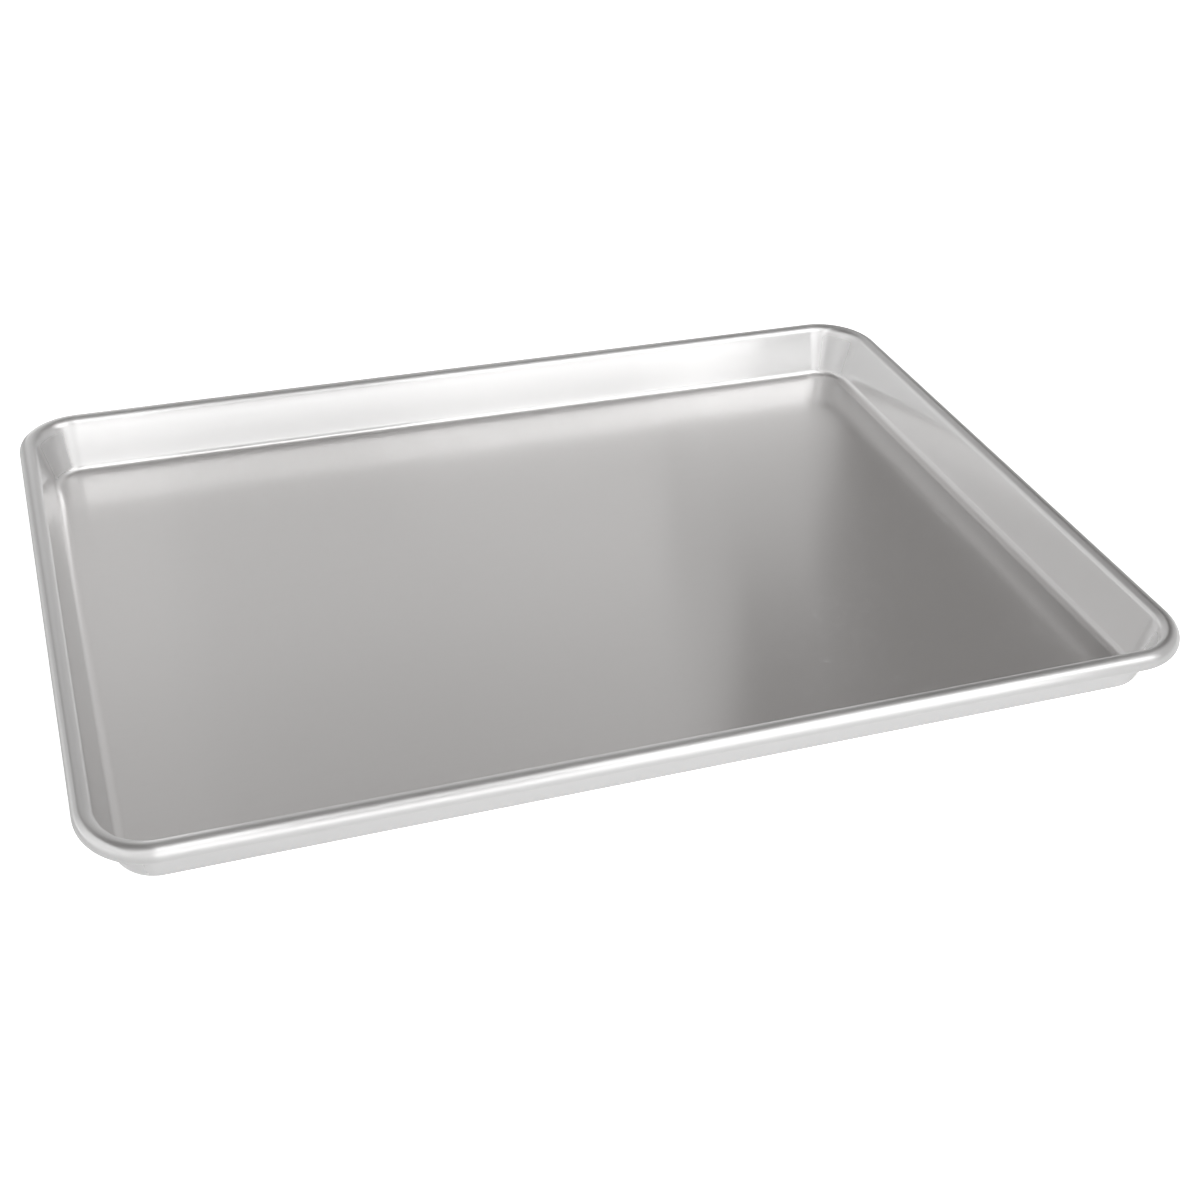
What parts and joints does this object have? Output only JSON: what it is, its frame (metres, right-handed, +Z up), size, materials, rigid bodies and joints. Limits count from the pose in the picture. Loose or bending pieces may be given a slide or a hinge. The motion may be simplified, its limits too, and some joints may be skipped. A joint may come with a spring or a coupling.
{
  "type": "jelly roll pan",
  "caption": "Shallow rectangular baking pan of natural satin aluminium sheet with flared walls, rounded corners and a rim curled round a steel wire.",
  "frame": {"origin": "underside of the flat floor, at its middle", "axes": "+X along the pan's long side, +Y across it, +Z up out of the tray"},
  "size_m": [0.413, 0.292, 0.0243],
  "materials": {
    "satin_aluminium": "natural mill finish, satin, with a fine rolling grain along the pan",
    "galvanised_wire": "galvanised, dull"
  },
  "bodies": {
    "root": {"pan_body": "satin_aluminium", "rim_wire": "galvanised_wire"}
  },
  "joints": []
}
